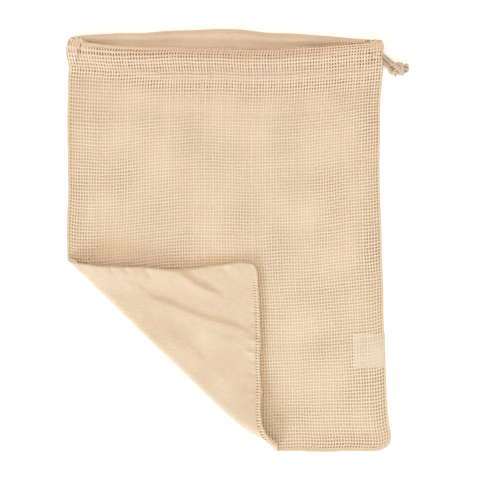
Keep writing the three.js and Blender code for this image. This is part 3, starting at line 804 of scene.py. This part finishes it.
def addKnot():
    draw = np.random.default_rng(knot["seed"])
    over = np.concatenate([[cordLine[-1]], knot["over"]])
    through = np.concatenate([[cordLine[0]], knot["through"]])
    taper = blend(knot["startSize"], 1.0, ramp(np.linspace(0, 1, knot["steps"]), 0, knot["startTo"]))
    parts = [twistedTube(lineThrough(points, knot["steps"]), knot, taper) for points in (over, through)]
    for points, aim in zip((over, through), frayed["aims"]):
        parts += frayedEnd(points[-1], aim, draw)
    parts += looseFibres(draw)
    points, faces = joined(parts)
    strand = np.concatenate([np.full(len(made), draw.uniform()) for made, _ in parts])
    return addMesh("knot_frayed", points, faces, knotYarn, {"strand": strand})


knotPiece = addKnot()


# The plain back, with its hem turned in over the cord
backPanel = {
    "flat": (0.305, 0.427), "thickness": 0.0005, "rimBend": 0.0006, "rimRows": 6,
    "fine": 0.0013, "coarse": 0.0028, "fineTo": (0.03, 0.06), "fineFrom": (0.2, 0.225),
    "hemEnds": (0.006, 0.017), "hemStep": 0.0015, "cordStep": 0.00085, "cordTo": 0.0125,
    "belowRim": 0.001, "atSides": 0.0008,
    "waves": 0.00008, "waveSize": 0.07, "wavesInside": (0.001, 0.03),
    "bow": 0.85, "bowDown": (0.007, 0.02), "bowInside": 0.03,  # bow is a share of the front's lift
    "hemGap": 0.0001, "overCord": 0.0066, "aboveCord": 0.0013, "soften": 0.0014,
    "edgeCut": 0.0005, "cutFrom": 0.9,
}
# Along the turned-up corner the net's seam allowance comes round onto the plain back
strip = {
    "width": 0.0037, "start": (-0.139, -0.122), "end": (0.034, 0.046), "bend": 0.0009, "out": -0.0002,
    "wider": 0.0018, "widerFrom": (-0.01, 0.03), "under": 0.0005,
}


def onStrip(x):
    return ramp(x, *strip["start"]) * fade(x, *strip["end"])


def spacing(start, end, stepAt):  # places from start to end with a changing step
    places = [start]
    while places[-1] < end:
        places.append(places[-1] + stepAt(places[-1]))
    return start + (np.array(places) - start) * (end - start) / (places[-1] - start)


def backRise(x, y, depth, inside):  # the back bows up under the open mouth
    netDepth = rimY("net", np.clip(x, *rimEnds["net"])) - y
    rise = backPanel["bow"] * frontLift(x, netDepth) * ramp(depth, *backPanel["bowDown"])
    return rise * quarterRound(inside, backPanel["bowInside"])


def backHemHeight(x, y, depth, inside):
    flat = layers["muslin"] + 2 * backPanel["rimBend"] + backPanel["hemGap"]
    offset = (depth - hem["backCordDepth"]) / backPanel["overCord"]
    crest = cadBack + cordAbove + drawcord["diameter"] / 2 + backPanel["aboveCord"]
    overCord = crest * np.exp(-offset * offset)
    return softMax(flat, overCord, backPanel["soften"]) + backRise(x, y, depth, inside)


def bendDepth(down, radius):  # depth below the rim of cloth that bends back at the rim
    half = radius * np.pi / 2
    past = np.abs(down) - half
    return np.where(past > 0, radius + past, radius * (1 - np.cos(down / radius)))


def outsideShare(down, radius):  # from 0 for the turned-in hem to 1 outside, through the rim's bend
    return np.clip(0.5 + 0.5 * np.sin(np.clip(down / radius, -np.pi / 2, np.pi / 2)), 0, 1)


def backGrid(longest):  # u across and down along the cloth, with finer steps where it bends
    shape = backPanel
    half = shape["rimBend"] * np.pi / 2
    width = rimWidth("back")
    beside, overCord = shape["hemStep"], shape["cordStep"]
    turned = -np.concatenate([np.arange(hem["depth"], shape["cordTo"] + beside / 2, -beside),
                              np.arange(shape["cordTo"], half + overCord / 2, -overCord)])
    around = np.linspace(-half, half, shape["rimRows"])

    def downStep(down):
        return blend(shape["coarse"], shape["fine"], ramp(down, *shape["fineFrom"]))

    def acrossStep(u):
        return blend(shape["fine"], shape["coarse"], ramp((u - 0.5) * width, *shape["fineTo"])) / width

    body = spacing(half + shape["belowRim"], longest, downStep)
    u = spacing(shape["atSides"], 1 - shape["atSides"], acrossStep)
    return np.meshgrid(np.concatenate([turned, around, body]), u, indexing="ij")


def addBack():
    shape = backPanel
    bend = shape["rimBend"]
    half = bend * np.pi / 2
    longest = float(columnLength("back", np.array(0.5)))
    down, u = backGrid(longest)
    depth = bendDepth(down, bend)
    leftInset, rightInset = shape["hemEnds"]
    inset = ramp(-down, -half, hem["insetBy"]) / rimWidth("back")
    u = u + inset * (leftInset * (1 - u) - rightInset * u)
    v = np.where(down > 0, depth / longest, depth / columnLength("back", u))
    bottomX = flatPlace("back", u, np.ones_like(u))[..., 0]
    stripWidth = strip["width"] + strip["wider"] * ramp(bottomX, *strip["widerFrom"])
    cut = blend(shape["edgeCut"], stripWidth, onStrip(bottomX)) / longest
    v = v - cut * ramp(v, shape["cutFrom"], 1.0)
    place = flatPlace("back", u, v)
    x, y = place[..., 0], place[..., 1]
    inside = seamDistance(x, y)
    uneven = (1 + waves(x, y, shape["waveSize"], 3)) * ramp(inside, *shape["wavesInside"])
    lie = layers["muslin"] + shape["waves"] * uneven + backRise(x, y, depth, inside)
    inner = backHemHeight(x, y, depth, inside)
    atRim = backHemHeight(x, y, bend, inside)
    rounded = blend(atRim, lie, outsideShare(down, bend))
    height = np.where(down < -half, inner, np.where(down > half, lie, rounded))
    grid = turnUp(x, y, height)
    cloth = np.stack([u * shape["flat"][0], down, np.zeros_like(u)], axis=-1).reshape(-1, 3)
    points, faces = closedSheet(grid, shape["thickness"])
    # painted warm shade: on the near face at the hems and seams, on the far face where the hem is turned in
    turnedIn = fade(down, -0.001, 0.001)
    doubled = np.concatenate([hemSeamShadeMask("back", down, inside).ravel(), turnedIn.ravel()])
    values = {"cloth": np.concatenate([cloth, cloth]), "doubled": doubled}
    return addMesh("back_panel_cloth", points, faces, muslin, values)


# The thick edge of the seams, where the layers' allowances lie folded together
seamRoll = {  # half width, low, high
    "left": (0.0014, 0.0001, 0.0017), "right": (0.0006, 0.0001, 0.0014), "bottom": (0.0015, 0.0001, 0.0016),
    "flapTop": (0.0012, 0.0001, 0.006), "flapSide": (0.0017, -0.0005, 0.006),
    "bottomFrom": -0.19, "flapFrom": -0.02, "inset": 0.0001, "step": 0.0016, "ring": 10,
    "atExit": (0.006, 0.011), "lowerAtExit": 0.35, "evenOver": 9, "clothRadius": 0.001,
}


def outline():  # the outer edge of both panels, from the mouth's left end round to its right end
    lines = []
    for panel in ("back", "net"):
        e = edges[panel]
        line = np.concatenate([e["left"], e["bottom"], e["right"][::-1]])
        apart = np.linalg.norm(np.diff(line, axis=0), axis=1) > 1e-7
        lines.append(alongLine(line[np.r_[True, apart]], np.linspace(0, 1, edgePoints["outline"])))
    back, netLine = lines
    tangent = unit(np.gradient(back, axis=0))
    outward = np.stack([tangent[:, 1], -tangent[:, 0]], axis=1)
    beyond = ((netLine - back) * outward).sum(1)
    return loosen(back + outward * np.maximum(beyond, 0)[:, None])


def smoothed(values, width):
    weight = np.hanning(width + 2)[1:-1]
    weight = weight / weight.sum()
    ends = (width // 2, width - 1 - width // 2)
    return np.stack([np.convolve(np.pad(c, ends, mode="edge"), weight, "valid") for c in values.T], axis=1)


def addSeamRoll():
    shape = seamRoll
    edge = outline()
    total = lengthAlong(edge)[-1]
    edge = alongLine(edge, np.linspace(0, 1, int(total / shape["step"])))
    x, y = edge[:, 0], edge[:, 1]
    onBottom = (y < shape["bottomFrom"])[:, None]
    onFlap = ((x < 0) & (y < shape["flapFrom"]))[:, None]
    front = np.where(x[:, None] < 0, shape["left"], shape["right"])
    front = np.where(onFlap, shape["flapTop"], front)
    below = blend(np.array(shape["bottom"]), np.array(shape["flapSide"]), onStrip(x)[:, None])
    half, low, high = smoothed(np.where(onBottom, below, front), shape["evenOver"]).T
    tangent = unit(np.gradient(edge, axis=0))
    inward = np.stack([-tangent[:, 1], tangent[:, 0]], axis=1)
    middle = smoothed(edge, 3) + inward * (half + shape["inset"])[:, None]
    atExit = fade(np.abs(y - cordExit["y"]), *shape["atExit"]) * (x > 0)
    high = high * (1 - shape["lowerAtExit"] * atExit)
    angle = np.linspace(0, 2 * np.pi, shape["ring"], endpoint=False)
    place = middle[:, None] - inward[:, None] * (half[:, None] * np.cos(angle))[..., None]
    height = ((low + high)[:, None] + (high - low)[:, None] * np.sin(angle)) / 2
    rings = turnUp(place[..., 0], place[..., 1], height)
    index = np.arange(len(edge) * shape["ring"]).reshape(-1, shape["ring"])
    faces = [ringQuads(index)[:, [0, 3, 2, 1]], index[:1], index[-1:, ::-1]]
    along = np.linspace(0, total, len(edge))
    cloth = np.stack(np.broadcast_arrays(along[:, None], angle * shape["clothRadius"], 0.0), axis=-1)
    return addMesh("seam_roll", rings, faces, muslin, {"cloth": cloth.reshape(-1, 3)})


backPiece = addBack()
rollPiece = addSeamRoll()


# The label, which the net lies on
label = {
    "middle": (0.1339, -0.1050), "width": 0.0304, "length": 0.0325, "thickness": 0.0006, "height": 0.00095,
    "pressed": 0.00005,  # how far the threads' middles lie above it
    "netMargin": 0.004, "puffMargin": 0.007, "grid": (27, 33), "waves": 0.0001, "waveSize": 0.02,
}


def nearLabel(x, y, margin):
    acrossIt = fade(np.abs(x - label["middle"][0]), label["width"] / 2, label["width"] / 2 + margin)
    return acrossIt * fade(np.abs(y - label["middle"][1]), label["length"] / 2, label["length"] / 2 + margin)


# The net: warps run from the hem's inner edge over the rim to the bottom seam, wefts across
net = {
    "warps": 113, "warpHalf": 0.00073, "warpHigh": 0.0004,
    "weftPitch": 0.00307, "weftHalf": 0.00078, "weftHigh": 0.00038, "ring": 4, "swell": 0.08, "uneven": 0.06,
    "crossing": 0.0001, "between": -0.00007, "edgeShare": 0.004, "allowance": 2, "seed": 5,
    "bandRows": (-12, 21, 57, 92), "flatWidth": 0.3,
    "drift": 0.00012, "driftSize": 0.05, "driftInside": (0.002, 0.03),
}
netHem = {
    "rows": 12, "rimBend": 0.0006, "shiftedRows": (4.5, 6), "shift": 0.5,
    "turnedTo": 0.0252, "deeper": 0.009, "deeperFrom": (-0.13, -0.05),  # it is deeper past its left end
    "casing": (0.0127, 0.0107, 0.0043),  # middle, half width and rise over the cord
    "thick": 0.0007, "ends": (-0.002, 0.004), "settles": 0.011, "rawEdge": (0.0008, 0.0012),
}
closeness = {  # how much thicker the threads are where the net is drawn together
    "hem": 0.25, "belowHem": 0.02, "sewn": 0.05, "sewnWefts": 0.16, "sewnAt": (-0.0095, -0.0065, -0.003),
    "strip": 0.28, "corner": 0.5, "corners": ((-0.144, 0.187), (0.1445, 0.189)), "cornerReach": 0.01,
    "warpPower": 1.6,
}
slant = {  # the net is a little out of square: its rows rise from left to right
    "left": 0.0115, "leftTo": 0.42, "right": 0.005, "rightFrom": 0.72,
    "hem": (0.0, 0.012), "body": (0.02, 0.09), "gone": (0.27, 0.385),
}
wander = {  # how the threads stray, with the lengths of their waves
    "warp": 0.0002, "warpCycles": (0.012, 0.021, 0.043),
    "weft": 0.000108, "weftCycles": (0.04, 0.075, 0.14), "weftFrom": (0.002, 0.01),
}


def hemEnd(x):  # how deep the net's hem reaches
    return netHem["turnedTo"] + netHem["deeper"] * ramp(x, *netHem["deeperFrom"])


def netOuterHeight(x, y, depth, inside):
    end = hemEnd(x)
    doubled = netHem["thick"] * fade(depth, end + netHem["ends"][0], end + netHem["ends"][1])
    middle, half, rise = netHem["casing"]
    casing = rise * np.cos(np.clip((depth - middle) / half, -1, 1) * np.pi / 2) ** 2
    overBack = (cadNet - layers["net"]) * fade(depth, end + netHem["ends"][0], end + netHem["settles"])
    raised = (frontLift(x, depth) + doubled + casing + overBack) * quarterRound(inside, hem["endInset"])
    atExit = cordExit["rise"] * (x > 0)
    atExit = atExit * fade(np.abs(y - cordExit["y"]), cordExit["halfHeight"], 2 * cordExit["halfHeight"])
    atExit = atExit * fade(inside, cordExit["inside"], 2 * cordExit["inside"])
    uneven = np.clip(puff["mean"] + puff["vary"] * waves(x, y, puff["size"], 21), *puff["range"])
    swell = puff["height"] * quarterRound(inside, puff["rise"]) * fade(inside, *puff["inside"]) * uneven
    swell = swell * ramp(depth, hem["depth"], hem["depth"] + puff["belowHem"])
    swell = swell * ramp(foldDistance(x, y), *puff["awayFromFold"])
    swell = swell * (1 - nearLabel(x, y, label["puffMargin"]))
    onLabel = nearLabel(x, y, label["netMargin"])
    overLabel = label["height"] + label["thickness"] / 2 + label["pressed"] - layers["net"]
    drift = net["drift"] * (1 + waves(x, y, net["driftSize"], 8)) * ramp(inside, *net["driftInside"])
    return (layers["net"] + np.maximum(raised, atExit) + np.maximum(swell, overLabel * onLabel)
            + drift * (1 - onLabel))


def netPlace(u, down):  # the net's middle surface; down is measured along the cloth from the rim
    bend = netHem["rimBend"]
    width = rimWidth("net")
    folded = np.maximum(-down - hemEnd(rimEnds["net"][0] + u * width), 0)
    depth = bendDepth(down, bend) - 2 * folded
    inset = hem["endInset"] / width * ramp(-down, -bend * np.pi / 2, hem["insetBy"])
    u = 0.5 + (u - 0.5) * (1 - 2 * inset)
    length = columnLength("net", u)
    turn = strip["bend"]
    past = depth - (length - turn)
    angle = np.clip(past / turn, 0, np.pi)
    back = np.maximum(past - turn * np.pi, 0)
    seamDepth = np.where(past > 0, length - turn + turn * np.sin(angle) - back, depth)
    place = flatPlace("net", u, seamDepth / length)
    x, y = place[..., 0], place[..., 1]
    bulge = mouthCorner["leftRise"] * fade(x, *mouthCorner["leftX"])
    bulge = bulge + mouthCorner["rightRise"] * ramp(x, *mouthCorner["rightX"])
    y = y + bulge * fade(depth, 0, mouthCorner["depth"])
    inside = seamDistance(x, y)
    outer = netOuterHeight(x, y, depth, inside)
    sunk, sunkBy = netHem["rawEdge"]
    inner = cadNet + frontLift(x, depth) - sunk * ramp(folded, 0, sunkBy)
    height = blend(inner, outer, outsideShare(down, bend))
    under = blend(outer - strip["under"], strip["out"], onStrip(x))
    height = np.where(past > 0, blend(under, height, 0.5 + 0.5 * np.cos(angle)), height)
    return turnUp(x, y, height)


def skew(u, down):
    rise = slant["left"] * (ramp(u, 0.0, slant["leftTo"]) - 1)
    rise = rise + slant["right"] * ramp(u, slant["rightFrom"], 1.0)
    depth = np.abs(down)
    grown = 0.5 * ramp(depth, *slant["hem"]) + 0.5 * ramp(depth, *slant["body"])
    return -np.sign(down) * rise * grown * fade(depth, *slant["gone"])


def netNodes(longest, lastRow, draw):  # where threads cross, and halfway between, on the flat cloth
    rows = np.arange(-netHem["rows"] * 2, (lastRow + net["allowance"]) * 2 + 1) / 2
    columns = np.arange(0, net["warps"] * 2 - 1) / 2
    t, c = np.meshgrid(rows, columns, indexing="ij")
    u = net["edgeShare"] + c * (1 - 2 * net["edgeShare"]) / (net["warps"] - 1)
    length = columnLength("net", u)
    inHem = t - netHem["shift"] * ramp(-t, *netHem["shiftedRows"])
    down = np.where(t > 0, t * length, inHem * longest) / lastRow
    down = np.where(t > lastRow, length + (t - lastRow) * net["weftPitch"], down)
    down = down + skew(u, down)
    for cycle, phase in zip(wander["warpCycles"], draw.uniform(0, 2 * np.pi, (3, len(columns)))):
        u = u + wander["warp"] * np.sin(down * 2 * np.pi / cycle + phase)
    inBody = ramp(down, *wander["weftFrom"])
    for cycle, phase in zip(wander["weftCycles"], draw.uniform(0, 2 * np.pi, (3, len(rows), 1))):
        down = down + wander["weft"] * inBody * np.sin(u * 2 * np.pi / cycle + phase)
    return rows, u, down


def netCloseness(rows, down, middle, lastRow):  # of the warps and of the wefts, at each node
    end = hemEnd(middle[..., 0])
    first, full, last = closeness["sewnAt"]
    sewn = ramp(down, end + first, end + full) * fade(down, end + last, end)  # the hem's edge is sewn down
    fromCorner = np.min([np.linalg.norm(middle[..., :2] - corner, axis=-1)
                         for corner in closeness["corners"]], axis=0)
    close = (1 + closeness["hem"] * fade(down, end, end + closeness["belowHem"]) + closeness["sewn"] * sewn
             + closeness["strip"] * (rows > lastRow)[:, None]
             + closeness["corner"] * np.exp(-(fromCorner / closeness["cornerReach"]) ** 2))
    return close ** closeness["warpPower"], close * (1 + closeness["sewnWefts"] * sewn)


def threads(middle, along, up, size, half, high, over):  # over is 1 or -1: above or below the others
    atCrossing = np.arange(middle.shape[1]) % 2 == 0
    raised = over * np.where(atCrossing, net["crossing"], net["between"])[:, None]
    size = size * np.where(atCrossing, 1 + net["swell"], 1 - net["swell"])
    return tubes(middle + up * raised, unit(np.cross(up, along)), up, half * size, high, net["ring"])


def addNet():
    shape = net
    ring = shape["ring"]
    draw = np.random.default_rng(shape["seed"])
    longest = float(columnLength("net", np.array(0.5)))
    lastRow = int(longest / shape["weftPitch"])
    rows, u, down = netNodes(longest, lastRow, draw)
    middle = netPlace(u, down)
    goDown, goAcross = unit(np.gradient(middle, axis=0)), unit(np.gradient(middle, axis=1))
    up = unit(np.cross(goDown, goAcross))
    warpClose, weftClose = netCloseness(rows, down, middle, lastRow)
    flat = flatPlace("net", u, np.clip(down / longest, 0, 1))
    # painted warm shade on the net at its hem and along the seams
    doubled = hemSeamShadeMask("net", down, seamDistance(flat[..., 0], flat[..., 1]))
    warpTone, weftTone = draw.uniform(0, 1, shape["warps"]), draw.uniform(0, 1, len(rows))
    warpSize = 1 + draw.normal(0, shape["uneven"], (shape["warps"], 1))
    weftSize = 1 + draw.normal(0, shape["uneven"], (len(rows), 1))
    pieces = []
    starts = list(shape["bandRows"]) + [lastRow + shape["allowance"]]
    for k, (first, last) in enumerate(zip(starts[:-1], starts[1:])):
        top, end = (first + netHem["rows"]) * 2, (last + netHem["rows"]) * 2
        sewnIn = 2 * shape["allowance"] if last > lastRow else 0
        wefts = np.arange(top + (2 if k else 0), end + 1 - sewnIn, 2)
        line, along, above, close, warpShadeMask = (
            np.swapaxes(a[top:end + 1, ::2], 0, 1) for a in (middle, goDown, up, warpClose, doubled))
        points, faces = joined([
            threads(line, along, above, warpSize * close, shape["warpHalf"], shape["warpHigh"], 1),
            threads(middle[wefts], goAcross[wefts], up[wefts], weftSize[wefts] * weftClose[wefts],
                    shape["weftHalf"], shape["weftHigh"], -1),
        ])
        tone = np.concatenate([np.repeat(warpTone, line.shape[1] * ring),
                               np.repeat(weftTone[wefts], middle.shape[1] * ring)])
        # the painted shade for warps and wefts
        paintedShade = np.repeat(np.concatenate([warpShadeMask.ravel(), doubled[wefts].ravel()]), ring)
        values = {"strand": tone, "doubled": paintedShade}
        piece = addMesh("front_net_band%d" % (k + 1), points, faces, netThread, values)
        pieces.append(piece)
    return pieces


netPieces = addNet()


def addLabel():
    shape = label
    columns, rows = shape["grid"]
    across, down = np.meshgrid(np.linspace(-0.5, 0.5, columns), np.linspace(0.5, -0.5, rows))
    x = shape["middle"][0] + across * shape["width"]
    y = shape["middle"][1] + down * shape["length"]
    z = shape["height"] + shape["waves"] * waves(x, y, shape["waveSize"], 4)
    cloth = np.stack([x, y, np.zeros_like(x)], axis=-1).reshape(-1, 3)
    points, faces = closedSheet(np.stack([x, y, z], axis=-1), shape["thickness"])
    return addMesh("label_tab", points, faces, tape, {"cloth": np.concatenate([cloth, cloth])})


labelPiece = addLabel()


# Lines of stitching: along the hem on the net, and where the net's strip meets the plain back
stitch = {
    "length": 0.0022, "pitch": 0.0028, "half": 0.00017, "points": 5, "ring": 5, "bow": 0.0002,
    "aboveHemEnd": 0.007, "hemFrom": 0.006, "hemTo": 0.004, "stripFrom": 0.012, "stripTo": 0.62,
    "besideStrip": 0.0006, "stripShare": 0.6,
}


def stitchTubes(line):  # line is (stitches, points, 3) already in place
    along = unit(np.gradient(line, axis=1))
    up = unit(np.cross(along, np.cross((0, 0, 1), along)))
    return tubes(line, np.cross(up, along), up, stitch["half"], stitch["half"], stitch["ring"])


def addStitches():
    width = rimWidth("net")
    share = np.linspace(-0.5, 0.5, stitch["points"])
    bow = stitch["bow"] * (1 - (2 * share) ** 4)
    starts = np.arange(stitch["hemFrom"], width - stitch["hemTo"], stitch["pitch"])
    starts = starts[:, None] + share * stitch["length"]
    down = hemEnd(rimEnds["net"][0] + starts) - stitch["aboveHemEnd"]
    u = starts / width
    place = flatPlace("net", u, down / columnLength("net", u))
    x, y = place[..., 0], place[..., 1]
    hemLine = turnUp(x, y, netOuterHeight(x, y, down, seamDistance(x, y)) + net["warpHigh"] + bow)
    bottom = edges["back"]["bottom"]
    length = lengthAlong(bottom)[-1]
    starts = np.arange(stitch["stripFrom"], length * stitch["stripTo"], stitch["pitch"])
    starts = starts[:, None] + share * stitch["length"]
    place = loosen(alongLine(bottom, starts / length))
    place = place[onStrip(place[:, stitch["points"] // 2, 0]) > stitch["stripShare"]]
    x, y = place[..., 0], place[..., 1] + strip["width"] + stitch["besideStrip"]
    stripLine = turnUp(x, y, layers["muslin"] - backPanel["thickness"] / 2 - bow)
    points, faces = joined([stitchTubes(hemLine), stitchTubes(stripLine)])
    return addMesh("seam_stitches", points, faces, sewingThread, {"strand": np.full(len(points), 0.5)})


stitchPiece = addStitches()
print("cloth made")


# What each piece rides on, stands for and is cut from
for piece, nodes, slot in (
    (backPiece, ["back_panel"], "muslin"), (rollPiece, [], "muslin"), (labelPiece, ["label"], "tape"),
    (cordPiece, ["drawcord"], "cord"), (knotPiece, ["knot"], "cord"), (stitchPiece, [], "muslin"),
):
    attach(piece, "root")
    if nodes:
        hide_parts(*nodes)
for piece in netPieces:
    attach(piece, "root")
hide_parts("front_net")

[tuple(p) for p in cordLine[::3]] + [tuple(cordLine[-1])]

print("pieces placed")
